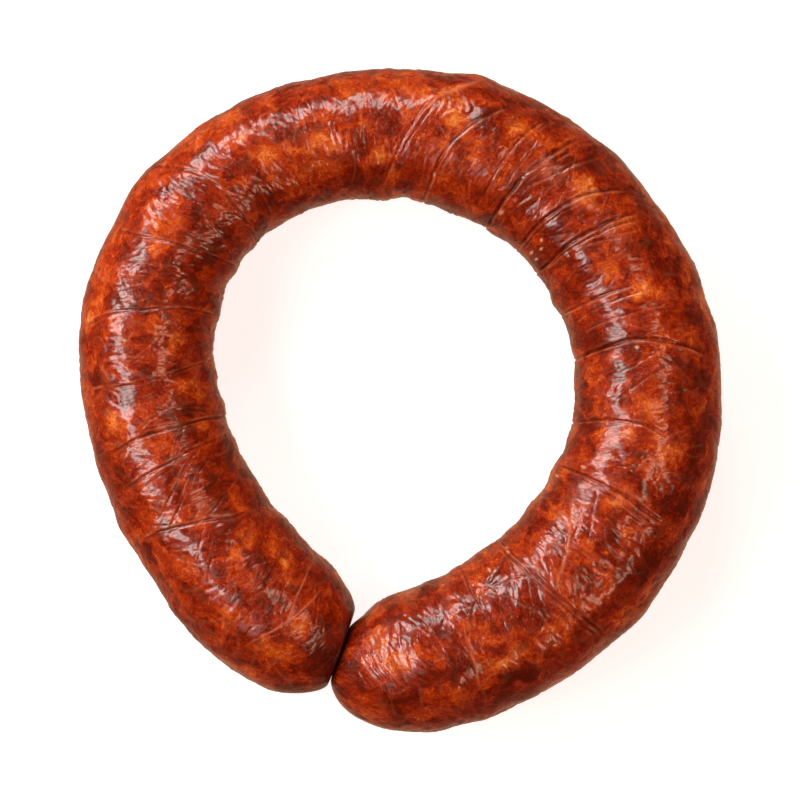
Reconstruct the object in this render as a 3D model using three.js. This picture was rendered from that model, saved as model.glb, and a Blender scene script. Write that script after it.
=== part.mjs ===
// A ring of cured sausage lying flat: one link in its natural casing, bent round until its two ends touch.
//
// Millimetres, +Z up. The link rests on Z = 0, and the ring is centred on its own outline.
// A station is a distance along the link, measured at its core from the tip of the left end.
// An angle goes round the link: 0 at the crown, 90 at the outside of the ring, -90 at its inside.
import * as THREE from "three";

// The way the core runs, seen from above: it leaves the left tip with this heading, and turns clockwise
// through a leg, a shoulder, the top, a long bow and a last leg.
const LEFT_TIP = { x: -11.9, y: -59.4, heading: 152.8 };
const BENDS = [
  { length: 81, turn: -54 },
  { length: 68.5, turn: -81.5 },
  { length: 21.5, turn: -17 },
  { length: 146.5, turn: -142.5 },
  { length: 53.5, turn: -38 },
];
const BEND_BLEND = 9;
const LINK_LENGTH = BENDS.reduce((sum, bend) => sum + bend.length, 0);

// The link's radius: plump at both ends, slimmest where it was hung to dry over a stick.
const GIRTHS = [
  { station: 0, radius: 16.25 },
  { station: 30, radius: 16.55 },
  { station: 50, radius: 15.9 },
  { station: 90, radius: 15.3 },
  { station: 130, radius: 14.5 },
  { station: 150, radius: 14.25 },
  { station: 170, radius: 14.65 },
  { station: 190, radius: 15.5 },
  { station: 222, radius: 15.55 },
  { station: 262, radius: 16.7 },
  { station: 310, radius: 17.6 },
  { station: 340, radius: 16.95 },
  { station: LINK_LENGTH, radius: 16.95 },
];

// Each end is a dome that closes over this length. A fullness of 2 is an ellipse, and more is blunter.
const LEFT_DOME = { length: 22.5, fullness: 2.3 };
const RIGHT_DOME = { length: 30, fullness: 2.2 };

// The two ends press flat against an upright plane, facing this way, and leave a hair's breadth.
const TOUCH = { x: -13.8, y: -57.4, facing: -20, gap: 0.4, softness: 0.5 };

// The underside sits this far below where a round link would only touch its support.
const REST_FLAT = 0.8;

// Creases where the casing gathers, mostly on the inside of the ring. Each crosses the crown at a station.
// lean and bow, in millimetres, carry it along the link with the sine of the angle and its square.
const CREASES = [
  { crown: 47.5, lean: 5.3, bow: -2.9, from: -50, to: 50, depth: 0.6 },
  { crown: 62.1, lean: -2.2, bow: -0.9, from: -100, to: 50, depth: 0.6 },
  { crown: 69.9, lean: -0.5, bow: -1.5, from: -125, to: 70, depth: 0.9 },
  { crown: 81.1, lean: -2.3, bow: 2, from: -115, to: 60, depth: 0.5 },
  { crown: 97.8, lean: -4.1, bow: -2.1, from: -100, to: 65, depth: 0.6 },
  { crown: 113.3, lean: -3.8, bow: 0.5, from: -100, to: 65, depth: 0.6 },
  { crown: 129.9, lean: -2.3, bow: -4.6, from: -125, to: 65, depth: 0.7 },
  { crown: 175.4, lean: 7.7, bow: 1.4, from: -60, to: 50, depth: 0.5 },
  { crown: 186.5, lean: 8.7, bow: 4.2, from: -120, to: 55, depth: 0.8 },
  { crown: 204.6, lean: 4.3, bow: 2.2, from: -130, to: 50, depth: 1 },
  { crown: 216.1, lean: 5.5, bow: 3.7, from: -130, to: 45, depth: 1 },
  { crown: 224.3, lean: 2.8, bow: 2.3, from: -135, to: 45, depth: 1.2 },
  { crown: 239.4, lean: 3.7, bow: 3.4, from: -130, to: 20, depth: 0.7 },
  { crown: 251.9, lean: 3.2, bow: 5, from: -130, to: 55, depth: 1 },
  { crown: 271, lean: 1, bow: 2, from: -120, to: 20, depth: 0.8 },
  { crown: 284, lean: -5, bow: 0, from: -125, to: 20, depth: 0.9 },
  { crown: 316, lean: -2.5, bow: 0.3, from: -110, to: 60, depth: 0.8 },
];
const CREASE_WIDTH = 0.8;
const CREASE_FADE = 25;
const LIP = { share: 0.3, offset: 1.5, width: 0.7 };

// Places where the link bulges out, or is drawn in, on one side: how long it is, how far round, how high.
const BULGES = [
  { station: 122, angle: 90, length: 7, round: 45, height: 0.25 },
  { station: 135, angle: -90, length: 4, round: 40, height: -0.35 },
  { station: 193, angle: 90, length: 6, round: 45, height: 0.3 },
  { station: 210, angle: 90, length: 4, round: 35, height: -0.3 },
  { station: 231, angle: -90, length: 6, round: 45, height: 0.35 },
  { station: 256, angle: -90, length: 5, round: 45, height: -0.5 },
  { station: 296, angle: -90, length: 12, round: 50, height: 0.35 },
  { station: 305, angle: 90, length: 12, round: 50, height: -0.3 },
  { station: 347, angle: -90, length: 6, round: 45, height: -0.4 },
];

// Slow swells under the casing, from the coarse mince: how long, how often round, and how high.
const SWELLS = [
  { wavelength: 31, round: 1, phase: 40, height: 0.14 },
  { wavelength: 23, round: -2, phase: 160, height: 0.13 },
  { wavelength: 17, round: 2, phase: 285, height: 0.11 },
  { wavelength: 13.5, round: -3, phase: 20, height: 0.1 },
  { wavelength: 11, round: 3, phase: 210, height: 0.09 },
  { wavelength: 9, round: -4, phase: 100, height: 0.07 },
];

// How finely the skin is faceted.
const FACETS_ROUND = 36;
const LONGEST_FACET = 3.6;
const CREASE_ROW_GAP = 1.2;
const DOME_ROWS = 8;

const ROUTE_STEP = 0.25;

const radians = THREE.MathUtils.degToRad;
const clamp = THREE.MathUtils.clamp;
const { smoothstep } = THREE.MathUtils;

// The bend at a station, in radians a millimetre, easing from each stretch into the next.
function curvature(station) {
  let start = 0;
  let sum = 0;
  BENDS.forEach((bend, i) => {
    const end = start + bend.length;
    const risen = i === 0 ? 1 : Math.tanh((station - start) / BEND_BLEND);
    const fallen = i === BENDS.length - 1 ? -1 : Math.tanh((station - end) / BEND_BLEND);
    sum += (radians(bend.turn) / bend.length) * 0.5 * (risen - fallen);
    start = end;
  });
  return sum;
}

// The core's path, walked in short steps.
function walkRoute() {
  const steps = Math.ceil(LINK_LENGTH / ROUTE_STEP);
  const step = LINK_LENGTH / steps;
  const route = [{ x: LEFT_TIP.x, y: LEFT_TIP.y, heading: radians(LEFT_TIP.heading) }];
  for (let i = 0; i < steps; i++) {
    const here = route[i];
    const heading = here.heading + curvature((i + 0.5) * step) * step;
    const middle = (here.heading + heading) / 2;
    route.push({ x: here.x + Math.cos(middle) * step, y: here.y + Math.sin(middle) * step, heading });
  }
  return route;
}
const ROUTE = walkRoute();

function coreAt(station) {
  const place = (clamp(station, 0, LINK_LENGTH) / LINK_LENGTH) * (ROUTE.length - 1);
  const i = Math.min(Math.floor(place), ROUTE.length - 2);
  const [a, b] = [ROUTE[i], ROUTE[i + 1]];
  const mix = (key) => THREE.MathUtils.lerp(a[key], b[key], place - i);
  return { x: mix("x"), y: mix("y"), heading: mix("heading") };
}

// A value between listed stations, joined by smooth steps.
function alongList(list, key, station) {
  const after = list.findIndex((entry) => entry.station >= station);
  if (after === 0) return list[0][key];
  if (after < 0) return list.at(-1)[key];
  const [a, b] = [list[after - 1], list[after]];
  return THREE.MathUtils.lerp(a[key], b[key], smoothstep(station, a.station, b.station));
}

const girthAt = (station) => alongList(GIRTHS, "radius", station);

// How much of its girth a dome has left at this distance from its tip.
function domeShare(dome, fromTip) {
  const closed = clamp(1 - fromTip / dome.length, 0, 1);
  return (1 - closed ** dome.fullness) ** (1 / dome.fullness);
}

function creaseDepthAt(crease, row, angle) {
  const off = row - crease.crown;
  const valley = Math.exp(-((off / CREASE_WIDTH) ** 2));
  const lip = LIP.share * Math.exp(-(((Math.abs(off) - LIP.offset) / LIP.width) ** 2));
  const degrees = THREE.MathUtils.radToDeg(angle);
  const reach =
    smoothstep(degrees, crease.from, crease.from + CREASE_FADE) *
    (1 - smoothstep(degrees, crease.to - CREASE_FADE, crease.to));
  return crease.depth * reach * (valley - lip);
}

function bulgeAt(bulge, station, angle) {
  const along = (station - bulge.station) / bulge.length;
  const about = (THREE.MathUtils.radToDeg(angle) - bulge.angle) / bulge.round;
  return bulge.height * Math.exp(-(along ** 2) - about ** 2);
}

function swellAt(station, angle) {
  return SWELLS.reduce((sum, swell) => {
    const turn = (2 * Math.PI * station) / swell.wavelength + swell.round * angle;
    return sum + swell.height * Math.sin(turn + radians(swell.phase));
  }, 0);
}

// Rows of facets run along the creases, so between two creases their lean and bow change evenly.
const LEANINGS = [
  { station: 0, lean: 0, bow: 0 },
  ...CREASES.map(({ crown, lean, bow }) => ({ station: crown, lean, bow })),
  { station: LINK_LENGTH, lean: 0, bow: 0 },
];

// Holds a point of either end back on its own side of the plane where the ends press together.
function pressEnds(point, station) {
  const onLeft = station < LEFT_DOME.length;
  const onRight = station > LINK_LENGTH - RIGHT_DOME.length;
  if (!onLeft && !onRight) return point;
  const side = onLeft ? -1 : 1;
  const facing = new THREE.Vector3(Math.cos(radians(TOUCH.facing)), Math.sin(radians(TOUCH.facing)), 0);
  const reach = (point.x - TOUCH.x) * facing.x + (point.y - TOUCH.y) * facing.y;
  const past = TOUCH.gap / 2 - side * reach;
  const back = TOUCH.softness * Math.log1p(Math.exp(past / TOUCH.softness));
  return point.addScaledVector(facing, side * back);
}

// A point of the skin, on the row of facets that crosses the crown at this station.
function skinPoint(row, angle) {
  const across = Math.sin(angle);
  const lean = alongList(LEANINGS, "lean", row);
  const bow = alongList(LEANINGS, "bow", row);
  const station = clamp(row + lean * across + bow * across ** 2, 0, LINK_LENGTH);
  const open = domeShare(LEFT_DOME, station) * domeShare(RIGHT_DOME, LINK_LENGTH - station);
  const crease = CREASES.reduce((sum, each) => sum + creaseDepthAt(each, row, angle), 0);
  const bulge = BULGES.reduce((sum, each) => sum + bulgeAt(each, station, angle), 0);
  const radius = open * (girthAt(station) + bulge + swellAt(station, angle) - crease);
  const core = coreAt(station);
  const point = new THREE.Vector3(
    core.x - Math.sin(core.heading) * radius * across,
    core.y + Math.cos(core.heading) * radius * across,
    girthAt(station) - REST_FLAT + radius * Math.cos(angle),
  );
  pressEnds(point, station);
  point.z = Math.max(point.z, 0);
  return point;
}

// Where the rows of facets lie: close over the domes, three to a crease, and even between them.
function rowStations() {
  const marks = [];
  for (let i = 0; i <= DOME_ROWS; i++) {
    const share = 1 - Math.cos((i / DOME_ROWS) * (Math.PI / 2));
    marks.push(LEFT_DOME.length * share, LINK_LENGTH - RIGHT_DOME.length * share);
  }
  for (const { crown } of CREASES) {
    marks.push(crown - CREASE_ROW_GAP, crown, crown + CREASE_ROW_GAP);
  }
  marks.sort((a, b) => a - b);
  const rows = [marks[0]];
  for (const mark of marks.slice(1)) {
    const last = rows.at(-1);
    const pieces = Math.ceil((mark - last) / LONGEST_FACET);
    for (let i = 1; i <= pieces; i++) rows.push(last + ((mark - last) * i) / pieces);
  }
  return rows;
}

// The skin is a sphere's net of facets, its poles at the two tips, drawn out along the link.
function buildSkin() {
  const rows = rowStations();
  const skin = new THREE.SphereGeometry(1, FACETS_ROUND, rows.length - 1);
  const net = skin.getAttribute("uv");
  const position = skin.getAttribute("position");
  for (let i = 0; i < position.count; i++) {
    const rowIndex = Math.floor(i / (FACETS_ROUND + 1));
    const turn = (i % (FACETS_ROUND + 1)) / FACETS_ROUND;
    const point = skinPoint(rows[rowIndex], radians(360 * (turn % 1) - 180));
    position.setXYZ(i, point.x, point.y, point.z);
    net.setXY(i, turn, rows[rowIndex] / LINK_LENGTH);
  }
  skin.computeBoundingBox();
  const middle = skin.boundingBox.getCenter(new THREE.Vector3());
  skin.translate(-middle.x, -middle.y, 0);
  skin.computeVertexNormals();
  return skin;
}

const casing = new THREE.MeshStandardMaterial({ color: 0x8f2a12, roughness: 0.35, metalness: 0 });

const sausage = new THREE.Mesh(buildSkin(), casing);
sausage.name = "sausage";

const ring = new THREE.Group();
ring.add(sausage);

export default ring;
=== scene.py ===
import math

import bpy
import numpy as np
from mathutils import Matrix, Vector


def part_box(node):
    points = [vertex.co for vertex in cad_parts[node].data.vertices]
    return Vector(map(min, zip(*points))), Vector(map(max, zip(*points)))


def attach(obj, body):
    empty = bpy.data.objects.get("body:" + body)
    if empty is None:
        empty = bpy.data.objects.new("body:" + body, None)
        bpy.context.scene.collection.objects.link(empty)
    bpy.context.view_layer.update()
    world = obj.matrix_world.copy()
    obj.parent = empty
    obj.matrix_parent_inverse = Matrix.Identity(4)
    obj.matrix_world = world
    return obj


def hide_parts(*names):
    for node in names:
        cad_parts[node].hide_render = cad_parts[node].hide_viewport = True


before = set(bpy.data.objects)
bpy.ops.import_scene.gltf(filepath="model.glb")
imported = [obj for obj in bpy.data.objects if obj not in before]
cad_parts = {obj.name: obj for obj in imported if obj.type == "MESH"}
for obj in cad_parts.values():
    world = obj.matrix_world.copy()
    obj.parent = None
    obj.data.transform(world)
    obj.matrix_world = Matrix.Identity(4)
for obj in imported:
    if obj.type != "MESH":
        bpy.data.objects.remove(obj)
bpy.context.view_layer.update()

MM = 0.001
TAU = 2 * math.pi

# The link's shape, in millimetres and degrees, as the solid has it.
LEFT_TIP = (-11.9, -59.4)
LEFT_HEADING = 152.8
BENDS = [(81, -54), (68.5, -81.5), (21.5, -17), (146.5, -142.5), (53.5, -38)]  # (length, turn)
BEND_BLEND = 9
WALK_STEPS = 3000
LINK_LENGTH = sum(length for length, turn in BENDS)

GIRTHS = [  # (station, radius)
    (0, 16.25), (30, 16.55), (50, 15.9), (90, 15.3), (130, 14.5), (150, 14.25), (170, 14.65),
    (190, 15.5), (222, 15.55), (262, 16.7), (310, 17.6), (340, 16.95), (LINK_LENGTH, 16.95),
]
MEAN_RADIUS = 16
LEFT_DOME = (22.5, 2.3)  # (length, fullness)
RIGHT_DOME = (30, 2.2)

TOUCH = (-13.8, -57.4)
TOUCH_FACING = -20
TOUCH_GAP = 0.03
TOUCH_SOFTNESS = 0.22
TOUCH_BOW = 0.9
TOUCH_HEIGHT = 17
REST_FLAT = 0.8

BULGES = [  # (station, angle, length, round, height)
    (122, 90, 7, 45, 0.25), (135, -90, 4, 40, -0.35), (193, 90, 6, 45, 0.3), (210, 90, 4, 35, -0.3),
    (231, -90, 6, 45, 0.35), (256, -90, 5, 45, -0.5), (296, -90, 12, 50, 0.35), (305, 90, 12, 50, -0.3),
    (347, -90, 6, 45, -0.4),
]
SWELLS = [  # (wavelength, times round, phase, height)
    (31, 1, 40, 0.14), (23, -2, 160, 0.13), (17, 2, 285, 0.11), (13.5, -3, 20, 0.1), (11, 3, 210, 0.09),
    (9, -4, 100, 0.07),
]

# Creases that cross the link: (crown, lean, bow, from, to, depth, width).
# The station of a crease is crown + lean * sin(angle) + bow * sin(angle) ** 2.
CREASES = [
    (17.0, 4.9, 2.7, -40, 30, -0.24, 0.27),
    (16.4, -6.1, -0.7, -60, 0, -0.20, 0.27),
    (28.2, -0.6, 1.0, -25, 30, 0.16, 0.50),
    (44.5, -18.8, 0.0, -14, 20, 0.14, 0.32),
    (47.5, 5.3, -2.9, -42, 48, 0.60, 0.42),
    (48.0, -6.0, 0.0, -25, -2, 0.16, 0.32),
    (53.4, -12.0, 0.0, -22, 22, 0.28, 0.36),
    (56.7, -11.7, 0.0, -26, 20, 0.36, 0.36),
    (62.1, -2.2, -0.9, -90, 40, 0.62, 0.40),
    (60.6, -3.4, 0.4, -30, 20, 0.18, 0.30),
    (69.4, -0.5, -1.5, -120, 40, 0.80, 0.40),
    (70.7, 0.6, -2.6, -70, 10, 0.28, 0.30),
    (72.6, -3.5, -6.9, -55, 4, 0.36, 0.45),
    (72.5, -8.0, 0.0, -20, 15, 0.20, 0.34),
    (81.1, -2.3, 2.0, -105, 54, 0.45, 0.38),
    (87.2, -14.1, 13.7, -20, 34, 0.18, 0.32),
    (97.8, -4.1, -2.1, -95, 60, 0.56, 0.36),
    (113.3, -3.8, 0.5, -95, 56, 0.55, 0.36),
    (129.9, -2.3, -4.6, -120, 66, 0.55, 0.44),
    (138.2, 2.5, 0.0, -60, -20, 0.20, 0.45),
    (154.9, 0.4, 0.0, 8, 40, 0.20, 0.40),
    (175.4, 7.7, 1.4, -50, 46, 0.42, 0.42),
    (176.9, 8.5, 1.4, -20, 52, 0.24, 0.34),
    (186.5, 8.7, 4.2, -115, 42, 0.70, 0.44),
    (198.4, 2.5, 3.2, -35, 42, 0.45, 0.36),
    (202.1, 1.2, 0.0, -20, 30, 0.24, 0.30),
    (204.6, 4.3, 2.2, -125, 46, 0.95, 0.48),
    (206.1, 4.3, 2.2, -6, 38, 0.36, 0.32),
    (207.9, 8.2, -1.0, -14, 44, 0.42, 0.36),
    (210.2, 1.0, 0.0, -25, 20, 0.18, 0.34),
    (216.1, 5.5, 3.7, -125, 40, 0.92, 0.46),
    (217.4, 5.5, 3.7, -70, 10, 0.30, 0.30),
    (224.1, 2.8, 2.3, -130, 38, 1.10, 0.48),
    (225.5, 3.2, 1.8, -60, 30, 0.45, 0.32),
    (227.0, 4.8, 0.0, -14, 26, 0.30, 0.36),
    (231.0, 0.0, 0.0, -40, 20, 0.14, 0.36),
    (239.4, 3.7, 3.4, -125, -2, 0.60, 0.42),
    (241.2, 2.7, 4.4, -60, 10, 0.30, 0.32),
    (245.1, 0.8, 1.9, -50, 22, 0.26, 0.34),
    (251.9, 3.2, 5.0, -125, 46, 1.00, 0.50),
    (252.0, -6.0, 8.0, 18, 40, 0.30, 0.36),
    (255.6, -7.7, 0.0, -26, 10, 0.26, 0.34),
    (259.5, -11.3, 3.8, -80, 4, 0.22, 0.34),
    (271.8, 4.8, 6.7, -115, 8, 0.66, 0.42),
    (288.4, 2.4, 1.8, -70, 30, 0.85, 0.46),
    (290.3, 2.6, 0.0, -26, 16, 0.45, 0.34),
    (304.0, -1.0, 0.0, -25, 5, 0.20, 0.36),
    (315.6, -2.5, 0.3, -100, 52, 0.70, 0.38),
    (316.9, -2.5, 0.3, -62, 44, 0.50, 0.32),
    (332.0, 0.0, 0.0, -62, -20, 0.40, 0.44),
    (338.6, 2.0, 0.0, -10, 30, -0.16, 0.40),
    (329.0, 2.5, 0.0, 0, 36, 0.14, 0.36),
]
CREASE_FADE = 14  # degrees over which a crease begins and ends
CREASE_FINENESS = 0.78
CREASE_RELIEF = 0.52
FOLD_FADE = (1.2, 0.8)  # millimetres outside and inside a fold's end over which it fades

# A crease's profile, with the distances and widths in widths of its valley.
TROUGH_SHARE, TROUGH_WIDTH = 0.14, 4.5
OUTER_RIM_SHARE, OUTER_RIM_PLACE, OUTER_RIM_WIDTH = 0.34, 1.8, 0.75
INNER_RIM_SHARE, INNER_RIM_PLACE, INNER_RIM_WIDTH = 0.16, -1.9, 0.75
# How much paler each rim is painted, partly as paler casing and partly as painted highlight, the outer
# rim most.
OUTER_RIM_PALE_AND_HIGHLIGHT, INNER_RIM_PALE_AND_HIGHLIGHT = 0.9, 0.2
FULL_SHADE_DEPTH, FULL_PALE_AND_HIGHLIGHT_DEPTH = 0.5, 0.22  # depths at which the painted shade, and the rims' paler tone with painted highlight, are full

# Folds that run askew: (from station, from offset, to station, to offset, depth, width). An offset is
# the distance from the crown line, towards the outside of the ring, as seen from above.
FOLDS = [
    (314.5, -1.5, 303.5, -7.5, -0.34, 0.45),
    (303.5, -7.5, 295.5, -11.0, -0.24, 0.42),
    (303.5, -7.5, 306.5, -11.5, 0.22, 0.36),
    (317.5, -7.0, 322.5, -9.6, 0.30, 0.36),
    (322.5, -9.6, 329.0, -10.6, 0.26, 0.36),
    (338.0, -3.0, 333.5, -8.2, 0.28, 0.36),
    (333.5, -8.2, 326.0, -11.8, 0.26, 0.36),
    (326.0, -11.8, 319.0, -13.2, 0.20, 0.36),
    (334.5, -8.5, 336.5, -11.5, 0.26, 0.34),
    (290.0, -7.6, 303.0, -3.4, 0.16, 0.40),
    (296.0, -8.5, 312.0, -4.2, 0.14, 0.36),
    (263.0, -5.5, 274.0, -3.5, 0.14, 0.36),
    (277.0, 0.5, 282.5, -1.5, 0.30, 0.40),
    (63.5, -2.0, 69.0, -6.5, 0.20, 0.36),
    (47.5, -4.5, 49.0, -8.0, 0.18, 0.36),
    (36.0, 4.5, 41.5, -2.0, 0.14, 0.36),
    (54.0, -3.5, 60.0, -9.5, 0.16, 0.36),
    (88.0, -2.5, 92.0, -9.0, 0.12, 0.36),
    (102.5, 15.0, 99.0, 7.5, 0.16, 0.40),
    (187.5, 13.0, 180.0, 7.5, -0.20, 0.45),
    (210.0, 8.5, 213.5, 2.0, 0.18, 0.36),
    (262.0, 11.5, 264.0, 8.0, 0.16, 0.36),
    (347.0, -7.5, 351.0, -12.0, 0.12, 0.40),
]

# Pieces of fat close under the casing: (station, offset, half length, half height, strength).
FAT_PIECES = [
    (12.0, 5.5, 3.2, 2.6, 0.75), (13.4, -1.4, 3.0, 2.2, 1.05), (25.0, 13.0, 1.8, 1.4, 0.60),
    (29.6, -11.6, 4.2, 2.4, 1.30), (36.2, -2.8, 1.8, 1.6, 0.95), (37.0, 11.0, 3.0, 2.0, 0.25),
    (18.8, -0.6, 2.0, 1.8, 0.70), (46.0, -10.5, 2.6, 1.2, 0.55), (66.0, -2.0, 2.0, 1.6, 0.50),
    (74.0, 9.0, 2.0, 1.2, 0.50), (79.2, -8.2, 2.0, 1.6, 0.95), (91.0, -7.5, 2.2, 1.4, 0.90),
    (95.5, 11.5, 2.2, 2.0, 0.70), (109.5, 11.0, 2.4, 1.2, 0.75), (114.5, 5.4, 2.2, 1.4, 0.40),
    (131.0, 11.0, 2.2, 1.4, 0.80), (140.5, 6.8, 1.6, 1.8, 0.95), (142.5, 0.8, 3.2, 1.6, 0.70),
    (153.0, -0.5, 4.5, 1.8, 0.60), (162.0, 9.0, 2.4, 1.2, 0.60), (168.0, -5.0, 2.4, 2.8, 0.75),
    (136.0, -2.0, 2.4, 1.4, 0.60), (182.0, 11.0, 2.4, 1.4, 0.65), (185.5, 4.5, 2.0, 2.8, 0.90),
    (192.5, -3.8, 1.8, 1.2, 0.80), (198.4, 7.6, 3.2, 2.4, 1.25), (205.0, -8.0, 1.8, 1.6, 0.60),
    (215.6, 4.8, 3.2, 3.0, 1.35), (227.0, 4.0, 2.0, 2.8, 1.10), (241.0, 1.9, 2.4, 3.2, 1.50),
    (236.0, -2.0, 2.0, 1.4, 0.55), (246.0, 14.5, 2.0, 1.2, 0.70), (268.5, 0.0, 3.4, 3.0, 0.55),
    (276.5, 4.5, 1.8, 3.4, 0.60), (292.0, -2.5, 3.6, 2.0, 0.60), (304.0, -3.0, 4.0, 1.6, 0.45),
    (319.0, 6.5, 2.6, 2.0, 0.75), (333.0, 5.5, 4.2, 1.6, 0.70), (355.2, -1.6, 4.2, 2.6, 0.95),
    (349.0, 8.0, 1.6, 2.6, 0.55), (330.0, -3.0, 3.0, 1.6, 0.45), (358.0, -9.0, 4.0, 3.0, 0.45),
    (165.9, 0.3, 2.4, 2.0, 0.75), (171.6, 6.2, 2.4, 2.2, 0.75), (177.0, 7.8, 3.0, 2.2, 1.00),
    (205.0, 7.4, 2.0, 1.8, 0.80), (247.2, -2.0, 2.0, 2.0, 0.70), (274.2, -5.3, 2.4, 2.0, 0.80),
    (297.6, -3.5, 2.6, 2.0, 0.90),
]

# Patches of darker lean meat, listed the same way. The first, on the left end's face near where the
# ends touch, is painted shade.
LEAN_AND_SHADE_PIECES = [
    (5.5, 4.5, 4.5, 6.0, 1.5), (10.5, 13.0, 4.0, 1.8, 0.6), (22.0, -3.0, 3.0, 3.4, 0.5),
    (31.0, 2.5, 3.0, 4.0, 0.5), (41.0, 13.8, 3.0, 1.4, 0.8), (41.0, -1.5, 2.6, 1.8, 0.7),
    (52.0, -8.5, 1.6, 3.2, 0.5), (57.5, 0.0, 2.0, 2.4, 0.6), (71.5, -7.5, 2.2, 3.4, 0.9),
    (83.5, -1.0, 2.6, 2.0, 0.5), (121.5, -2.8, 3.0, 2.6, 0.9), (139.0, -8.0, 8.0, 2.6, 0.6),
    (117.0, -9.0, 7.0, 2.4, 0.6), (146.0, -3.6, 3.4, 1.4, 0.5), (166.0, -10.5, 7.0, 2.2, 0.6),
    (172.0, 1.5, 1.4, 4.0, 0.6), (190.5, 5.0, 2.2, 2.6, 0.6), (199.0, -10.5, 4.0, 3.0, 0.8),
    (211.0, -2.5, 2.6, 3.0, 0.5), (211.0, 11.0, 4.5, 1.8, 0.6), (227.0, -12.5, 3.0, 1.6, 0.5),
    (236.0, 8.0, 6.0, 3.0, 0.4), (248.0, 3.0, 3.0, 5.0, 0.6), (259.0, -6.5, 3.2, 1.8, 0.6),
    (262.0, 6.0, 5.0, 4.0, 0.6), (277.0, 12.5, 3.0, 2.0, 0.9), (297.0, 0.0, 4.0, 2.4, 0.7),
    (300.0, 10.5, 9.0, 3.4, 0.7), (321.0, 0.0, 4.0, 3.0, 0.7), (333.0, 12.0, 11.0, 3.0, 0.8),
    (344.0, 5.0, 4.0, 5.0, 0.5), (341.0, -1.0, 3.0, 2.0, 0.5), (356.0, 10.5, 6.0, 3.0, 0.7),
    (366.5, -4.0, 3.0, 5.0, 0.5), (287.0, 4.0, 3.0, 4.0, 0.4), (95.0, 2.1, 3.4, 3.0, 1.0),
    (40.4, 10.2, 3.2, 2.4, 0.7), (113.5, 6.6, 2.4, 2.4, 0.5),
]

# Pale grains of salt and fat that the casing has drawn over, and two spots, at stations 253.4 and
# 285.6, painted pale as glints, a painted highlight: (station, offset, radius).
PALE_GRAINS_AND_GLINTS = [
    (183.3, -9.2, 0.5), (204.2, -11.4, 0.75), (217.6, -10.4, 0.45), (219.3, -11.6, 0.45),
    (218.2, -13.6, 0.6), (220.5, -13.9, 0.4), (253.4, -2.6, 0.55), (285.6, -12.0, 0.6),
    (318.4, -13.9, 0.55), (318.0, -15.2, 0.45), (325.5, -13.4, 0.45), (291.0, -16.0, 0.35),
]


def smooth_step(low, high, x):
    t = np.clip((x - low) / (high - low), 0, 1)
    return t * t * (3 - 2 * t)


def along_list(pairs, x):
    """The value at x of a list of (place, value), joined by smooth steps."""
    places, values = np.array(pairs, float).T
    i = np.clip(np.searchsorted(places, x) - 1, 0, len(places) - 2)
    t = np.clip((x - places[i]) / (places[i + 1] - places[i]), 0, 1)
    return values[i] + (values[i + 1] - values[i]) * t * t * (3 - 2 * t)


def dome_share(dome, from_tip):
    length, fullness = dome
    closed = np.clip(1 - from_tip / length, 0, 1)
    return (1 - closed**fullness) ** (1 / fullness)


def core_route(stations):
    """The core's x, y and heading at the stations, walked in short steps."""
    walk = np.linspace(0, LINK_LENGTH, WALK_STEPS + 1)
    middle = (walk[1:] + walk[:-1]) / 2
    curvature = np.zeros(WALK_STEPS)
    start = 0
    for i, (length, turn) in enumerate(BENDS):
        end = start + length
        risen = np.tanh((middle - start) / BEND_BLEND) if i else 1
        fallen = np.tanh((middle - end) / BEND_BLEND) if i < len(BENDS) - 1 else -1
        curvature += math.radians(turn) / length * 0.5 * (risen - fallen)
        start = end
    step = walk[1]
    heading = math.radians(LEFT_HEADING) + np.r_[0, np.cumsum(curvature * step)]
    mid_heading = (heading[1:] + heading[:-1]) / 2
    x = LEFT_TIP[0] + np.r_[0, np.cumsum(np.cos(mid_heading) * step)]
    y = LEFT_TIP[1] + np.r_[0, np.cumsum(np.sin(mid_heading) * step)]
    return [np.interp(stations, walk, values) for values in (x, y, heading)]


class Noise:
    """Smooth three-dimensional gradient noise, from about -1 to 1."""

    def __init__(self, seed):
        rng = np.random.default_rng(seed)
        self.order = np.tile(rng.permutation(256), 3)
        gradients = rng.normal(size=(256, 3))
        self.gradients = gradients / np.linalg.norm(gradients, axis=1)[:, None]

    def __call__(self, x, y, z):
        xi, yi, zi = (np.floor(v).astype(int) for v in (x, y, z))
        xf, yf, zf = x - xi, y - yi, z - zi
        fade = [v * v * v * (v * (v * 6 - 15) + 10) for v in (xf, yf, zf)]
        total = np.zeros(np.shape(x))
        for cx in (0, 1):
            for cy in (0, 1):
                for cz in (0, 1):
                    spot = self.order[(xi + cx) & 255] + ((yi + cy) & 255)
                    spot = self.order[spot] + ((zi + cz) & 255)
                    g = self.gradients[self.order[spot]]
                    dot = g[..., 0] * (xf - cx) + g[..., 1] * (yf - cy) + g[..., 2] * (zf - cz)
                    weight = fade[0] if cx else 1 - fade[0]
                    weight = weight * (fade[1] if cy else 1 - fade[1])
                    weight = weight * (fade[2] if cz else 1 - fade[2])
                    total += weight * dot
        return total * 1.6


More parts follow.
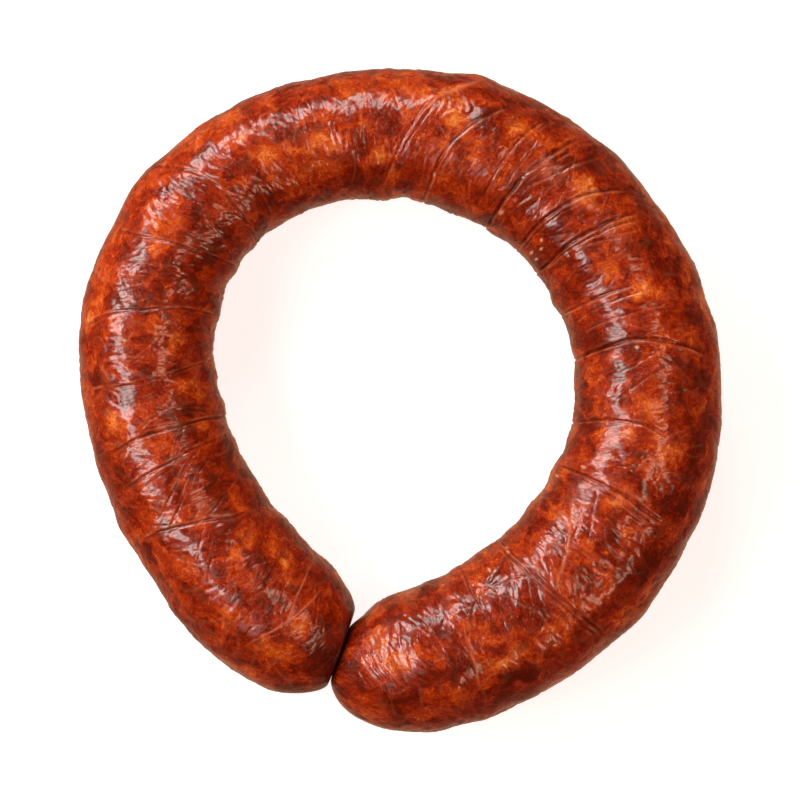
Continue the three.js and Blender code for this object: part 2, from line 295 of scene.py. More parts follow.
class Cells:
    """A random tone for each cell of space, from 0 to 1, blurred where cells meet."""

    def __init__(self, seed):
        rng = np.random.default_rng(seed)
        self.order = np.tile(rng.permutation(256), 3)
        self.spots = rng.uniform(size=(256, 3))
        self.tones = rng.uniform(size=256)

    def __call__(self, x, y, z, blur):
        xi, yi, zi = (np.floor(v).astype(int) for v in (x, y, z))
        xf, yf, zf = x - xi, y - yi, z - zi
        tone_sum = np.zeros(np.shape(x))
        weight_sum = np.zeros(np.shape(x))
        for cx in (-1, 0, 1):
            for cy in (-1, 0, 1):
                for cz in (-1, 0, 1):
                    cell = self.order[(xi + cx) & 255] + ((yi + cy) & 255)
                    cell = self.order[self.order[cell] + ((zi + cz) & 255)]
                    spot = self.spots[cell]
                    far = (cx + spot[..., 0] - xf) ** 2 + (cy + spot[..., 1] - yf) ** 2
                    far = far + (cz + spot[..., 2] - zf) ** 2
                    weight = np.exp(-far / blur)
                    tone_sum += weight * self.tones[cell]
                    weight_sum += weight
        return tone_sum / weight_sum


# The skin is a fine net of faces, closest over the crown.
ROW_GAP = 0.26
COLUMNS = 224
CROWN_CROWDING = 0.42


def dome_rows(length):
    """Rows from the tip of a dome to its foot, closest at the tip."""
    count = round(length * math.pi / 2 / ROW_GAP)
    return length * (1 - np.cos(np.linspace(0, math.pi / 2, count, endpoint=False)))


left_rows = dome_rows(LEFT_DOME[0])
right_rows = LINK_LENGTH - dome_rows(RIGHT_DOME[0])[::-1]
between = LINK_LENGTH - LEFT_DOME[0] - RIGHT_DOME[0]
inner_rows = np.linspace(LEFT_DOME[0], LINK_LENGTH - RIGHT_DOME[0], round(between / ROW_GAP))
row_station = np.r_[left_rows, inner_rows, right_rows]
even_angle = np.linspace(-math.pi, math.pi, COLUMNS, endpoint=False)
column_angle = even_angle - CROWN_CROWDING * np.sin(even_angle)

S, A = np.meshgrid(row_station, column_angle, indexing="ij")
GIRTH = along_list(GIRTHS, S)
SIN, COS = np.sin(A), np.cos(A)
DEGREES = np.degrees(A)
TX, TY, TZ = S, GIRTH * SIN, GIRTH * COS


def at_size(noise, size, shift=0):
    """The noise over the skin, in lumps of the given size, from a place of its own."""
    return noise(TX / size + shift, TY / size, TZ / size)


def wavering(noise, waves):
    """A sum of waves, each given as (size, height)."""
    return sum(height * at_size(noise, size) for size, height in waves)


waver = Noise(11)
patchy = Noise(12)
swell_height = sum(
    height * np.sin(TAU * S / wavelength + times * A + math.radians(phase))
    for wavelength, times, phase, height in SWELLS
)
for station, angle, length, about, height in BULGES:
    swell_height = swell_height + height * np.exp(
        -(((S - station) / length) ** 2) - ((DEGREES - angle) / about) ** 2
    )

# Creases, each a narrow valley in a shallow trough, with a rim raised along either side. Their lines
# wobble, their depth comes and goes, and they are fainter down the sides. Each valley is painted with
# shade, and its rims are painted paler, partly as paler casing and partly as painted highlight.
WOBBLES = [(3.5, 0.16), (9.0, 0.45)]
STRENGTH_SWING, STRENGTH_LUMP, WEAKEST, STRONGEST = 0.7, 4, 0.4, 1.4
SIDE_LOSS, SIDE_FROM, SIDE_TO = 0.5, 60, 95
LIP_LEAST, LIP_LUMP, LIP_SHIFT = 0.15, 2.6, 30
crease_depth = np.zeros(S.shape)
# Painted shade in the creases, and later in the groove where the ends touch.
crease_and_groove_shade = np.zeros(S.shape)
# Paler tone on ridges and rims, partly paler casing and partly painted highlight.
ridge_pale_and_highlight = np.zeros(S.shape)
wobble = wavering(waver, WOBBLES)
strength = np.clip(1 + STRENGTH_SWING * at_size(patchy, STRENGTH_LUMP), WEAKEST, STRONGEST)
strength = strength * (1 - SIDE_LOSS * smooth_step(SIDE_FROM, SIDE_TO, np.abs(DEGREES)))
lip_share = smooth_step(-0.35, 0.45, at_size(patchy, LIP_LUMP, LIP_SHIFT))
lip_share = LIP_LEAST + (1 - LIP_LEAST) * lip_share


def hump(across, place, width):
    """A bell curve over the distance across, highest at the given place."""
    return np.exp(-(((across - place) / width) ** 2))


def add_valley(across, reach, depth, width):
    """Sinks a valley, or raises a ridge where depth is negative, along the line where across is zero.
    A valley is painted with shade; its rims, or a ridge, are painted paler, partly as painted highlight.
    """
    global crease_depth, crease_and_groove_shade, ridge_pale_and_highlight
    width = CREASE_FINENESS * width
    depth = CREASE_RELIEF * depth
    near = hump(across, 0, width)
    trough = TROUGH_SHARE * hump(across, 0, TROUGH_WIDTH * width)
    rim_out = hump(across, OUTER_RIM_PLACE * width, OUTER_RIM_WIDTH * width)
    rim_in = hump(across, INNER_RIM_PLACE * width, INNER_RIM_WIDTH * width)
    if depth > 0:
        rims = OUTER_RIM_SHARE * rim_out + INNER_RIM_SHARE * rim_in
        crease_depth += depth * reach * (near + trough - rims)
        # Painted shade along the valley floor.
        crease_and_groove_shade = np.maximum(crease_and_groove_shade, reach * min(1, depth / FULL_SHADE_DEPTH) * near)
        # The rims are painted paler, partly as painted highlight.
        lips = np.maximum(OUTER_RIM_PALE_AND_HIGHLIGHT * rim_out, INNER_RIM_PALE_AND_HIGHLIGHT * rim_in)
        ridge = min(1, depth / FULL_PALE_AND_HIGHLIGHT_DEPTH) * lips * lip_share
    else:
        crease_depth += depth * reach * near
        ridge = near
    ridge_pale_and_highlight = np.maximum(ridge_pale_and_highlight, reach * ridge)


for crown, lean, bow, start, end, depth, width in CREASES:
    off = S - (crown + lean * SIN + bow * SIN**2)
    across = off / math.sqrt(1 + (lean / MEAN_RADIUS) ** 2) + wobble
    reach = smooth_step(start - CREASE_FADE / 2, start + CREASE_FADE / 2, DEGREES)
    reach = reach * (1 - smooth_step(end - CREASE_FADE / 2, end + CREASE_FADE / 2, DEGREES))
    add_valley(across, reach * strength, depth, width)

outside, inside = FOLD_FADE
for s0, t0, s1, t1, depth, width in FOLDS:
    length = math.hypot(s1 - s0, t1 - t0)
    ux, uy = (s1 - s0) / length, (t1 - t0) / length
    ds, dt = S - s0, TY - t0
    along = ds * ux + dt * uy
    across = -ds * uy + dt * ux + wobble
    reach = smooth_step(-outside, inside, along)
    reach = reach * (1 - smooth_step(length - inside, length + outside, along))
    add_valley(across, reach * strength * (COS > 0), depth, width)

# Wrinkles scattered over the casing, most of them across the link: short ones that sink or rise, and
# longer thin pleats that only rise. The rising ones are painted paler, partly as painted highlight.
WRINKLED_FROM, WRINKLED_TO = -120, 110
WRINKLE_MARGIN = 6
WRINKLE_BEND = 0.05
WRINKLE_WOBBLE = 0.6
WRINKLE_PALE_AND_HIGHLIGHT = 2.2
rng = np.random.default_rng(7)


def scatter_wrinkles(count, lengths, depths, widths, slants, sinking):
    for _ in range(count):
        s0 = rng.uniform(WRINKLE_MARGIN, LINK_LENGTH - WRINKLE_MARGIN)
        a0 = math.radians(rng.uniform(WRINKLED_FROM, WRINKLED_TO))
        slant = math.radians(rng.normal(0, slants))
        length = rng.uniform(*lengths)
        depth = rng.uniform(*depths) * (1 if rng.uniform() < sinking else -1)
        width = rng.uniform(*widths)
        bend = rng.normal(0, WRINKLE_BEND)
        lo, hi = np.searchsorted(row_station, [s0 - length, s0 + length])
        rows = slice(lo, hi)
        ds = S[rows] - s0
        da = GIRTH[rows] * (A[rows] - a0)
        along = da * math.cos(slant) + ds * math.sin(slant)
        across = ds * math.cos(slant) - da * math.sin(slant) + bend * along**2
        across = across + WRINKLE_WOBBLE * wobble[rows]
        near = np.exp(-((along / (0.5 * length)) ** 4)) * hump(across, 0, width)
        crease_depth[rows] += depth * near
        if depth < 0:
            # Raised wrinkles are painted paler, partly as painted highlight.
            ridge_pale_and_highlight[rows] = np.maximum(ridge_pale_and_highlight[rows], WRINKLE_PALE_AND_HIGHLIGHT * abs(depth) * near)


scatter_wrinkles(620, (2.0, 7.5), (0.03, 0.10), (0.28, 0.42), slants=28, sinking=0.65)
scatter_wrinkles(280, (4.0, 9.0), (0.06, 0.13), (0.22, 0.30), slants=30, sinking=0.0)

# Coarse mince under the casing, and the casing's own wrinkles, which run across the link: low
# cushions with thin valleys between them, and here and there a thin pleat that stands up, painted
# paler, partly as paler casing and partly as painted highlight.
LUMPS = [(5.0, 5.5, 0.17), (2.4, 3.4, 0.10)]  # (length, breadth, height)
# (length, breadth, shift, edge, height)
CRINKLES = [(2.1, 6.2, 0, 0.36, 0.115), (1.15, 2.8, 40, 0.4, 0.034)]
CRINKLE_LEAST, CRINKLE_SWING, CRINKLE_LUMP, CRINKLE_SHIFT = 0.7, 0.5, 11, 60
PLEAT_LENGTH, PLEAT_BREADTH, PLEAT_SHIFT = 4.6, 10, 7
PLEAT_THINNESS, PLEAT_HEIGHT, PLEAT_PALE_AND_HIGHLIGHT_SHARE = 0.09, 0.08, 0.22
PLEATED_LUMP, PLEATED_SHIFT = 13, 5
SWAYS, SLANTS = [(15, 2.4)], [(45, 0.8)]
mince = Noise(21)
crinkle = Noise(22)
pleat = Noise(23)
lumps = sum(height * mince(TX / length, TY / wide, TZ / wide) for length, wide, height in LUMPS)
sway = TX + wavering(pleat, SWAYS) + TY * wavering(waver, SLANTS)
crinkles = np.zeros(S.shape)
for length, wide, shift, edge, height in CRINKLES:
    cushion = np.abs(crinkle(sway / length + shift, TY / wide, TZ / wide))
    crinkles += height * smooth_step(0, edge, cushion)
regional = smooth_step(-0.3, 0.6, at_size(patchy, CRINKLE_LUMP, CRINKLE_SHIFT))
crinkles = crinkles * (CRINKLE_LEAST + CRINKLE_SWING * regional)
pleat_line = pleat(sway / PLEAT_LENGTH, TY / PLEAT_BREADTH + PLEAT_SHIFT, TZ / PLEAT_BREADTH)
pleats = hump(pleat_line, 0, PLEAT_THINNESS)
pleats = pleats * smooth_step(0.0, 0.5, at_size(patchy, PLEATED_LUMP, PLEATED_SHIFT))
crinkles = crinkles + PLEAT_HEIGHT * pleats
# Pleats are painted paler, partly as painted highlight.
ridge_pale_and_highlight = np.maximum(ridge_pale_and_highlight, PLEAT_PALE_AND_HIGHLIGHT_SHARE * pleats)

# How far the edges of grains and patches stray along the link and across it.
RAGGED = [(2.2, 1.1), (0.9, 0.6)]  # (size, reach)
edge_noise = Noise(31)
edge_s, edge_t = (
    sum(reach * at_size(edge_noise, size, shift) for size, reach in RAGGED) for shift in (0, 9)
)

# The salt and fat grains, and the two spots painted as glints, stand a little proud under the casing.
GRAIN_RISE = 0.1
GRAIN_RAGGEDNESS = 0.22
GRAIN_EDGE = (0.3, 1.1)
grain_and_glint_mask = np.zeros(S.shape)
for station, offset, size in PALE_GRAINS_AND_GLINTS:
    ds = S - station + GRAIN_RAGGEDNESS * edge_s
    dt = TY - offset + GRAIN_RAGGEDNESS * edge_t
    far = np.hypot(ds, dt) / size
    grain_and_glint_mask = np.maximum(grain_and_glint_mask, (1 - smooth_step(*GRAIN_EDGE, far)) * (COS > 0))

open_share = dome_share(LEFT_DOME, S) * dome_share(RIGHT_DOME, LINK_LENGTH - S)
radius = open_share * (GIRTH + swell_height - crease_depth) + np.sqrt(open_share) * (lumps + crinkles)
radius = radius + GRAIN_RISE * grain_and_glint_mask

core_x, core_y, heading = core_route(row_station)
core_x, core_y, heading = core_x[:, None], core_y[:, None], heading[:, None]
X = core_x - np.sin(heading) * radius * SIN
Y = core_y + np.cos(heading) * radius * SIN
Z = GIRTH - REST_FLAT + radius * COS

# The two ends press against each other, one a little hollow and the other a little full.
facing = (math.cos(math.radians(TOUCH_FACING)), math.sin(math.radians(TOUCH_FACING)))
side = np.where(S < LINK_LENGTH / 2, -1, 1)
at_end = (S < LEFT_DOME[0]) | (S > LINK_LENGTH - RIGHT_DOME[0])
touch_curve = TOUCH_BOW * ((Z - TOUCH_HEIGHT) / TOUCH_HEIGHT) ** 2
from_touch = (X - TOUCH[0]) * facing[0] + (Y - TOUCH[1]) * facing[1] - touch_curve
past = TOUCH_GAP / 2 - side * from_touch
back = TOUCH_SOFTNESS * np.logaddexp(0, past / TOUCH_SOFTNESS)
back = np.where(at_end, back, 0)

# The groove where they touch is painted with shade, since little light falls into it, least of all on
# the left end's face, where the painted shade reaches furthest.
GROOVE_SHADE = 1.8
LEFT_GROOVE, LEFT_GROOVE_SWING, RIGHT_GROOVE = 1.9, 1.5, 0.8
inside_touch = np.maximum(side * from_touch + back, 0)
left_reach = LEFT_GROOVE + LEFT_GROOVE_SWING * smooth_step(-0.4, 0.7, SIN)
groove_reach = np.where(side < 0, left_reach, RIGHT_GROOVE)
groove_painted_shade = np.where(at_end, GROOVE_SHADE * hump(inside_touch, 0, groove_reach), 0)
crease_and_groove_shade = np.maximum(crease_and_groove_shade, groove_painted_shade)
X = X + side * back * facing[0]
Y = Y + side * back * facing[1]
Z = np.maximum(Z, 0)

# The solid is centred on its own outline, and the skin lies over it.
low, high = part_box("sausage")
plain = open_share * (GIRTH + swell_height)
plain_x = core_x - np.sin(heading) * plain * SIN
plain_y = core_y + np.cos(heading) * plain * SIN
shift_x = (low.x + high.x) / 2 / MM - (plain_x.min() + plain_x.max()) / 2
shift_y = (low.y + high.y) / 2 / MM - (plain_y.min() + plain_y.max()) / 2
X = X + shift_x
Y = Y + shift_y


def patches(pieces, softness):
    """A mask of soft-edged patches seen from above, as lumps of meat or fat show through the casing."""
    mask = np.zeros(S.shape)
    for station, offset, half_s, half_t, amount in pieces:
        ds = (S - station + edge_s) / half_s
        dt = (TY - offset + edge_t) / half_t
        far = np.sqrt(ds**2 + dt**2)
        patch = amount * (1 - smooth_step(1 - softness, 1 + softness, far))
        mask = np.maximum(mask, patch * (COS > 0))
    return mask


def layered(noise, size, shift=0.0):
    """Noise with three sizes of detail, the coarsest of the given size."""
    return sum(
        noise(TX * finer / size + shift, TY * finer / size, TZ * finer / size) / finer
        for finer in (1, 2, 4)
    )


FAT_SOFTNESS, LEAN_SOFTNESS = 0.75, 0.8
fat_mask = patches(FAT_PIECES, FAT_SOFTNESS)
# Lean patches, and one patch of painted shade by the touching ends.
lean_and_shade_mask = patches(LEAN_AND_SHADE_PIECES, LEAN_SOFTNESS)

# The mince as the casing shows it: chunks stirred into the paste, each with a tone of its own.
STIR, STIR_SIZE, STIR_SHIFT = 1.4, 3.1, 20
CHUNK_SIZE, SMALL_CHUNK_SIZE, CHUNK_BLUR = 4.8, 1.8, 0.12
CLOUD_SIZE, CLOUD_SHIFT, CLOUD_SWING = 6.2, 90, 0.12
CHUNK_SHARE, SMALL_CHUNK_SHARE, CLOUD_SHARE, FAT_SHARE, LEAN_SHARE = 0.42, 0.24, 0.20, 0.30, 0.20
stirring = Noise(41)
STIRRED = [
    axis + STIR * layered(stirring, STIR_SIZE, STIR_SHIFT * k) for k, axis in enumerate((TX, TY, TZ))
]
chunk_tone = Cells(42)(*(axis / CHUNK_SIZE for axis in STIRRED), CHUNK_BLUR)
small_tone = Cells(43)(*(axis / SMALL_CHUNK_SIZE for axis in STIRRED), CHUNK_BLUR)
cloud_tone = 0.5 + CLOUD_SWING * layered(patchy, CLOUD_SIZE, CLOUD_SHIFT)
mince_tone = CHUNK_SHARE * chunk_tone + SMALL_CHUNK_SHARE * small_tone + CLOUD_SHARE * cloud_tone
# Fat lightens the tone; lean, and the painted shade by the touching ends, darken it.
mince_tone = mince_tone + FAT_SHARE * fat_mask - LEAN_SHARE * lean_and_shade_mask

# How glossy the casing is, in small patches.
GLOSS_SIZE, GLOSS_SHIFT, GLOSS_SWING = 2.2, 130, 0.22
gloss = 0.5 + GLOSS_SWING * layered(patchy, GLOSS_SIZE, GLOSS_SHIFT)

# The casing has dried browner in small patches, and painted shade makes it duller and browner down the
# sides.
DRIED_SIZE, DRIED_SHIFT, SIDE_SHADE_AMOUNT, DRIED_LESS = 3.4, 170, 0.6, 0.1
# Painted shade, growing down the sides.
side_shade = smooth_step(45, 80, np.abs(DEGREES))
dried_and_side_shade = layered(edge_noise, DRIED_SIZE, DRIED_SHIFT) + SIDE_SHADE_AMOUNT * side_shade - DRIED_LESS
dried_and_side_shade = smooth_step(0.05, 0.85, dried_and_side_shade)


def build_skin(name):
    """The skin as one closed mesh, with the masks stored in its vertices."""
    rows, columns = S.shape
    points = np.stack([X, Y, Z], -1).reshape(-1, 3) * MM
    first = points[:columns].mean(0)
    last = points[-columns:].mean(0)
    points = np.vstack([points[columns:-columns], first, last])
    inner = rows - 2
    i, j = np.meshgrid(np.arange(inner - 1), np.arange(columns), indexing="ij")
    k = (j + 1) % columns
    this_row, next_row = i * columns, (i + 1) * columns
    quads = np.stack([this_row + j, this_row + k, next_row + k, next_row + j], -1)
    quads = quads.reshape(-1, 4)[:, ::-1]
    ring = np.arange(columns)
    nxt = (ring + 1) % columns
    first_tip, last_tip = inner * columns, inner * columns + 1
    first_fan = np.stack([np.full(columns, first_tip), ring, nxt], -1)
    base = (inner - 1) * columns
    last_fan = np.stack([base + nxt, base + ring, np.full(columns, last_tip)], -1)
    mesh = bpy.data.meshes.new(name)
    mesh.vertices.add(len(points))
    mesh.vertices.foreach_set("co", points.astype(np.float32).ravel())
    fans = np.vstack([first_fan, last_fan])[:, ::-1]
    mesh.loops.add(quads.size + fans.size)
    mesh.loops.foreach_set("vertex_index", np.r_[quads.ravel(), fans.ravel()].astype(np.int32))
    mesh.polygons.add(len(quads) + len(fans))
    starts = np.r_[np.arange(len(quads)) * 4, quads.size + np.arange(len(fans)) * 3]
    mesh.polygons.foreach_set("loop_start", starts.astype(np.int32))
    mesh.polygons.foreach_set("use_smooth", np.ones(len(starts), bool))
    mesh.update(calc_edges=True)
    mesh.validate()

    def store(label, values):
        flat = values.reshape(-1)
        flat = np.r_[flat[columns:-columns], flat[:columns].mean(), flat[-columns:].mean()]
        attribute = mesh.attributes.new(label, "FLOAT", "POINT")
        attribute.data.foreach_set("value", flat.astype(np.float32))

    store("mince", mince_tone)
    store("gloss", gloss)
    # Dried patches, and painted shade down the sides.
    store("dried_and_side_shade", dried_and_side_shade)
    # Pale grains, and two spots painted pale as glints.
    store("grain_and_glint", grain_and_glint_mask)
    # Painted shade of the creases and of the groove where the ends touch.
    store("painted_shade", crease_and_groove_shade)
    # Ridges and rims painted paler, partly as painted highlight.
    store("ridge", np.clip(ridge_pale_and_highlight, 0, 1))
    for label, axes in (("tube", (TX, TY, TZ)), ("stirred", STIRRED)):
        place = np.stack(axes, -1).reshape(-1, 3)
        place = np.vstack([place[columns:-columns], place[:columns].mean(0), place[-columns:].mean(0)])
        attribute = mesh.attributes.new(label, "FLOAT_VECTOR", "POINT")
        attribute.data.foreach_set("vector", place.astype(np.float32).ravel())
    piece = bpy.data.objects.new(name, mesh)
    bpy.context.scene.collection.objects.link(piece)
    return piece


class Nodes:
    """A short way to write a node tree."""

    def __init__(self, tree):
        self.tree = tree

    def add(self, kind, inputs=None, **settings):
        node = self.tree.nodes.new(kind)
        for key, value in settings.items():
            setattr(node, key, value)
        for key, value in (inputs or {}).items():
            self.put(node.inputs[key], value)
        return node

    def put(self, socket, value):
        if isinstance(value, bpy.types.NodeSocket):
            self.tree.links.new(value, socket)
        elif isinstance(value, bpy.types.Node):
            self.tree.links.new(value.outputs[0], socket)
        else:
            socket.default_value = value

    def maths(self, operation, a, b=0.0):
        return self.add("ShaderNodeMath", {0: a, 1: b}, operation=operation).outputs[0]

    def plus(self, a, b):
        return self.maths("ADD", a, b)

    def times(self, a, b):
        return self.maths("MULTIPLY", a, b)

    def swing(self, value, share):
        """How far a value from 0 to 1 is from its middle, times the share."""
        return self.times(self.maths("SUBTRACT", value, 0.5), share)

    def spread(self, value, low, high, to_low=0.0, to_high=1.0):
        node = self.add("ShaderNodeMapRange", interpolation_type="SMOOTHSTEP")
        for key, given in enumerate((value, low, high, to_low, to_high)):
            self.put(node.inputs[key], given)
        return node.outputs[0]

    def blend(self, amount, a, b):
        node = self.add("ShaderNodeMix", data_type="RGBA")
        self.put(node.inputs[0], amount)
        self.put(node.inputs[6], a)
        self.put(node.inputs[7], b)
        return node.outputs[2]

    def noise(self, vector, scale, detail, roughness):
        inputs = {"Vector": vector, "Scale": scale, "Detail": detail, "Roughness": roughness}
        return self.add("ShaderNodeTexNoise", inputs).outputs[0]

    def stored(self, name, output="Fac"):
        """A value or a place that is stored in the mesh."""
        return self.add("ShaderNodeAttribute", attribute_name=name).outputs[output]


# Colours, from the darkest lean to the palest fat, and then the rest.
LEAN_DEEP = (0.098, 0.0054, 0.0006, 1)
LEAN_RED = (0.187, 0.0100, 0.0011, 1)
PASTE_RED = (0.340, 0.0205, 0.0022, 1)
PASTE_ORANGE = (0.515, 0.0565, 0.0042, 1)
FAT_ORANGE = (0.700, 0.1400, 0.0145, 1)
FAT_PEACH = (0.840, 0.2950, 0.0820, 1)
# Pale for grains, and for the two spots painted as glints.
GRAIN_AND_GLINT_PALE = (0.780, 0.3600, 0.2200, 1)
# Dull brown for dried casing, and for painted shade down the sides.
DRIED_AND_SHADE_BROWN = (0.150, 0.0330, 0.0130, 1)
# Pale peach for ridges and rims, partly paler casing and partly painted highlight.
PLEAT_PALE_AND_HIGHLIGHT = (0.860, 0.2500, 0.1100, 1)
FLECK_DARK = (0.070, 0.0050, 0.0012, 1)
# Dark red painted as shade into the creases and the groove where the ends touch.
CREASE_PAINTED_SHADE = (0.085, 0.0045, 0.0008, 1)
TONES = [(0.16, LEAN_DEEP), (0.32, LEAN_RED), (0.50, PASTE_RED), (0.68, PASTE_ORANGE),
         (0.84, FAT_ORANGE), (1.0, FAT_PEACH)]

# How strongly each thing shows in the colour.
MOTTLE_SHARE, FINE_SHARE, SPECK_SHARE = 0.95, 0.52, 0.20
DRIED_AND_SHADE_SHARE, FLECK_SHARE, RIDGE_PALE_AND_HIGHLIGHT_SHARE, CREASE_SHADE_SHARE = 0.5, 0.6, 0.42, 0.56

# Noise, given as (scale, detail, roughness), and the edges and the draws of specks and flecks.
MOTTLE_NOISE, FINE_NOISE = (1.05, 5.0, 0.68), (3.0, 3.0, 0.72)
VALLEY_NOISE, CREPE_NOISE = (1.6, 1.0, 0.5), (2.4, 2.0, 0.5)
SPECK_SCALE, SPECK_EDGE, FLECK_EDGE = 1.3, (0.12, 0.42), (0.16, 0.38)
SPECK_DRAW, FLECK_DRAW = (0.5, 0.95), (0.55, 0.9)

# The finest crinkle, with its height in metres, and the gloss.
SQUEEZE = (1.0, 0.42, 0.42)
VALLEY_WIDTH, VALLEY_SHARE, CREPE_SHARE = 0.03, 0.25, 0.28
CRINKLE_HEIGHT, CRINKLE_STRENGTH = 0.0001, 0.75
SMOOTHEST, ROUGHEST, MIRRORING = 0.10, 0.19, 0.55


def casing_material():
    material = bpy.data.materials.new("casing")
    material.use_nodes = True
    material.node_tree.nodes.clear()
    n = Nodes(material.node_tree)
    out = n.add("ShaderNodeOutputMaterial")
    tube = n.stored("tube", "Vector")
    stirred = n.stored("stirred", "Vector")

    # Mottling finer than the chunks.
    mottle = n.noise(stirred, *MOTTLE_NOISE)
    fine = n.noise(tube, *FINE_NOISE)
    tone = n.plus(n.stored("mince"), n.swing(mottle, MOTTLE_SHARE))
    tone = n.plus(tone, n.swing(fine, FINE_SHARE))

    # Specks of orange fat, a little under a millimetre apart.
    speck = n.add("ShaderNodeTexVoronoi", {"Vector": stirred, "Scale": SPECK_SCALE})
    speck_draw = n.add("ShaderNodeSeparateColor", {0: speck.outputs["Color"]})
    near_speck = n.spread(speck.outputs["Distance"], *SPECK_EDGE, 1.0, 0.0)
    has_speck = n.spread(speck_draw.outputs[0], *SPECK_DRAW)
    tone = n.plus(tone, n.times(n.times(near_speck, has_speck), SPECK_SHARE))
    ramp = n.add("ShaderNodeValToRGB", {0: tone})
    ramp.color_ramp.interpolation = "B_SPLINE"
    while len(ramp.color_ramp.elements) < len(TONES):
        ramp.color_ramp.elements.new(0.5)
    for element, (place, colour) in zip(ramp.color_ramp.elements, TONES):
        element.position = place
        element.color = colour
    # Dried casing, and painted shade down the sides, turn it dull brown.
    colour = n.blend(n.times(n.stored("dried_and_side_shade"), DRIED_AND_SHADE_SHARE), ramp.outputs[0], DRIED_AND_SHADE_BROWN)
    # Pale grains, and two painted glints.
    colour = n.blend(n.stored("grain_and_glint"), colour, GRAIN_AND_GLINT_PALE)

    # Flecks of ground pepper, some nearly black.
    near_fleck = n.spread(speck.outputs["Distance"], *FLECK_EDGE, 1.0, 0.0)
    has_fleck = n.spread(speck_draw.outputs[2], *FLECK_DRAW)
    colour = n.blend(n.times(n.times(near_fleck, has_fleck), FLECK_SHARE), colour, FLECK_DARK)
    # Ridges and rims are painted paler, partly as painted highlight.
    colour = n.blend(n.times(n.stored("ridge"), RIDGE_PALE_AND_HIGHLIGHT_SHARE), colour, PLEAT_PALE_AND_HIGHLIGHT)
    # Painted shade darkens the creases and the groove where the ends touch.
    colour = n.blend(n.times(n.stored("painted_shade"), CREASE_SHADE_SHARE), colour, CREASE_PAINTED_SHADE)

    # The casing's finest crinkle: small cells drawn out across the link, with thin valleys between them.
    squeezed = n.add("ShaderNodeVectorMath", {0: tube, 1: SQUEEZE}, operation="MULTIPLY").outputs[0]
    fold = n.maths("ABSOLUTE", n.maths("SUBTRACT", n.noise(squeezed, *VALLEY_NOISE), 0.5))
    valley = n.spread(fold, 0.0, VALLEY_WIDTH)
    crepe = n.noise(squeezed, *CREPE_NOISE)
    relief = n.plus(n.times(valley, VALLEY_SHARE), n.times(crepe, CREPE_SHARE))
    crinkled = {"Height": relief, "Distance": CRINKLE_HEIGHT, "Strength": CRINKLE_STRENGTH}
    bump = n.add("ShaderNodeBump", crinkled)

    rough = n.spread(n.stored("gloss"), 0.1, 0.9, SMOOTHEST, ROUGHEST)
    shader = n.add("ShaderNodeBsdfPrincipled", {"Base Color": colour, "Roughness": rough})
    n.put(shader.inputs["Normal"], bump.outputs[0])
    shader.inputs["Specular IOR Level"].default_value = MIRRORING
    n.tree.links.new(shader.outputs[0], out.inputs["Surface"])
    return material


def pale_material(name, base, glow):
    """A matt grey that glows a little by itself."""
    material = bpy.data.materials.new(name)
    material.use_nodes = True
    shader = material.node_tree.nodes["Principled BSDF"]
    shader.inputs["Base Color"].default_value = (base, base, base, 1)
    shader.inputs["Roughness"].default_value = 0.9
    shader.inputs["Specular IOR Level"].default_value = 0.1
    shader.inputs["Emission Color"].default_value = (1, 1, 1, 1)
    shader.inputs["Emission Strength"].default_value = glow
    return material


sausage = build_skin("cured_sausage")
sausage.data.materials.append(casing_material())
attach(sausage, "root")
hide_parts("sausage")

FLOOR_SIZE = 6
FLOOR_DROP = 0.0002
FLOOR_BASE, FLOOR_GLOW = 0.62, 0.76
BACKDROP_RADIUS = 2.9
BACKDROP_BASE, BACKDROP_GLOW = 0.0, 0.66
bpy.ops.mesh.primitive_plane_add(size=FLOOR_SIZE, location=(0, 0, -FLOOR_DROP))
floor = bpy.context.object
floor.name = "floor"
floor.data.materials.append(pale_material("pale_floor", FLOOR_BASE, FLOOR_GLOW))
floor.visible_glossy = False

# A pale wall all round behind the floor, which neither lights the link nor shows in its gloss.
bpy.ops.mesh.primitive_uv_sphere_add(segments=48, ring_count=24, radius=BACKDROP_RADIUS)
backdrop = bpy.context.object
backdrop.name = "backdrop"
backdrop.data.materials.append(pale_material("pale_backdrop", BACKDROP_BASE, BACKDROP_GLOW))
backdrop.visible_diffuse = False
backdrop.visible_glossy = False
backdrop.visible_transmission = False
backdrop.visible_shadow = False

# The room is dim above, and below the horizon it glows a little, which the link's steep sides mirror.
GLOW_BELOW = (0.52, 0.31, 0.20, 1)
DIM_ABOVE = (0.048, 0.036, 0.015, 1)
GLOW_LOW, GLOW_HIGH = -1.0, -0.28  # between these heights of a ray's direction the glow dies away
world = bpy.data.worlds.new("studio")
bpy.context.scene.world = world
world.use_nodes = True
room = Nodes(world.node_tree)
direction = room.add("ShaderNodeTexCoord").outputs["Generated"]
upward = room.add("ShaderNodeSeparateXYZ", {0: direction}).outputs[2]
above = room.spread(upward, GLOW_LOW, GLOW_HIGH)
sky = room.blend(above, GLOW_BELOW, DIM_ABOVE)
room.put(world.node_tree.nodes["Background"].inputs[0], sky)

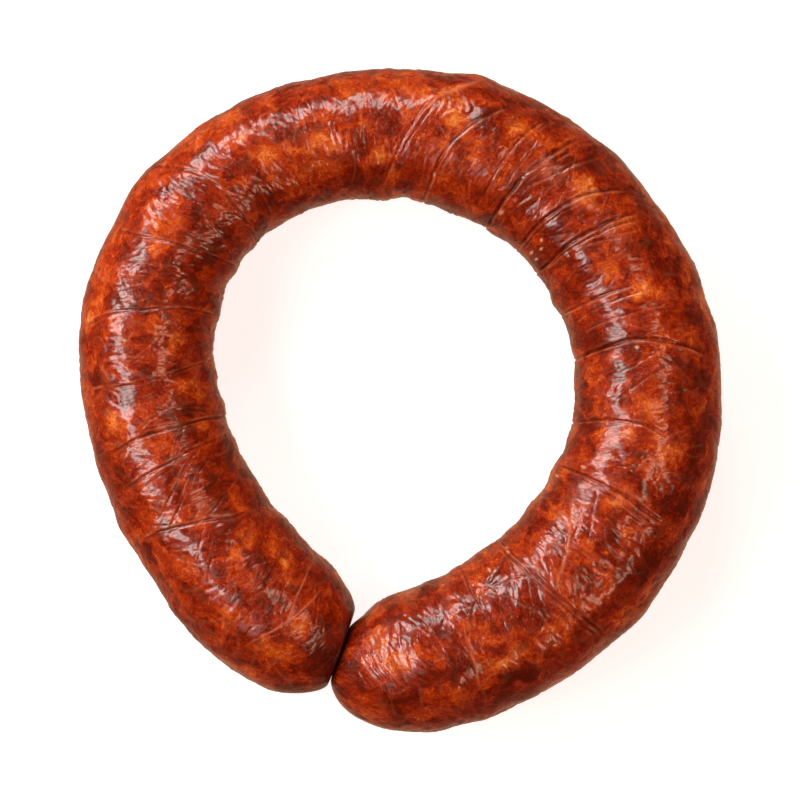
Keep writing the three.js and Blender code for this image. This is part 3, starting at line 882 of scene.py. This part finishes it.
LAMP_DISTANCE = 1.0
KEY_SIZE, KEY_COLOUR = (0.34, 0.33), (0.98, 0.945, 0.90)
FILL_SIZE, FILL_COLOUR = (0.46, 0.21), (1.0, 0.60, 0.42)


def softbox(name, azimuth, tilt, radiance, size, colour):
    """A rectangular lamp facing the object. Azimuth is counted from +X, and tilt from straight above."""
    width, height = size
    lamp = bpy.data.lights.new(name, "AREA")
    lamp.shape = "RECTANGLE"
    lamp.size = width
    lamp.size_y = height
    lamp.energy = radiance * math.pi * width * height
    lamp.color = colour
    light = bpy.data.objects.new(name, lamp)
    bpy.context.scene.collection.objects.link(light)
    a, t = math.radians(azimuth), math.radians(tilt)
    towards = Vector((math.sin(t) * math.cos(a), math.sin(t) * math.sin(a), math.cos(t)))
    light.location = towards * LAMP_DISTANCE
    light.rotation_mode = "QUATERNION"
    light.rotation_quaternion = towards.to_track_quat("Z", "Y")
    light.visible_camera = False


# Each lamp is given as (azimuth, tilt, radiance).
KEY_BOXES = [(95, 58, 8.4), (127, 64, 10.8), (159, 52, 10.8), (191, 42, 9.2), (223, 38, 1.3)]
FILL_BOXES = [(2, 24, 6.0), (-42, 48, 6.0)]
for number, place_and_light in enumerate(KEY_BOXES):
    softbox(f"key_{number}", *place_and_light, KEY_SIZE, KEY_COLOUR)
for number, place_and_light in enumerate(FILL_BOXES):
    softbox(f"fill_{number}", *place_and_light, FILL_SIZE, FILL_COLOUR)

# The camera looks straight down.
FRAME_WIDTH = 182.0 * MM
CAMERA_HEIGHT = 0.92
CORE_HEIGHT = 16 * MM
SENSOR_WIDTH = 36
CLIP_NEAR, CLIP_FAR = 0.01, 20
camera_data = bpy.data.cameras.new("camera")
camera_data.sensor_width = SENSOR_WIDTH
camera_data.lens = SENSOR_WIDTH / (FRAME_WIDTH / (CAMERA_HEIGHT - CORE_HEIGHT))
camera_data.clip_start, camera_data.clip_end = CLIP_NEAR, CLIP_FAR
camera = bpy.data.objects.new("camera", camera_data)
bpy.context.scene.collection.objects.link(camera)
camera.location = (0, 0, CAMERA_HEIGHT)
bpy.context.scene.camera = camera
bpy.context.scene.view_settings.view_transform = "Standard"
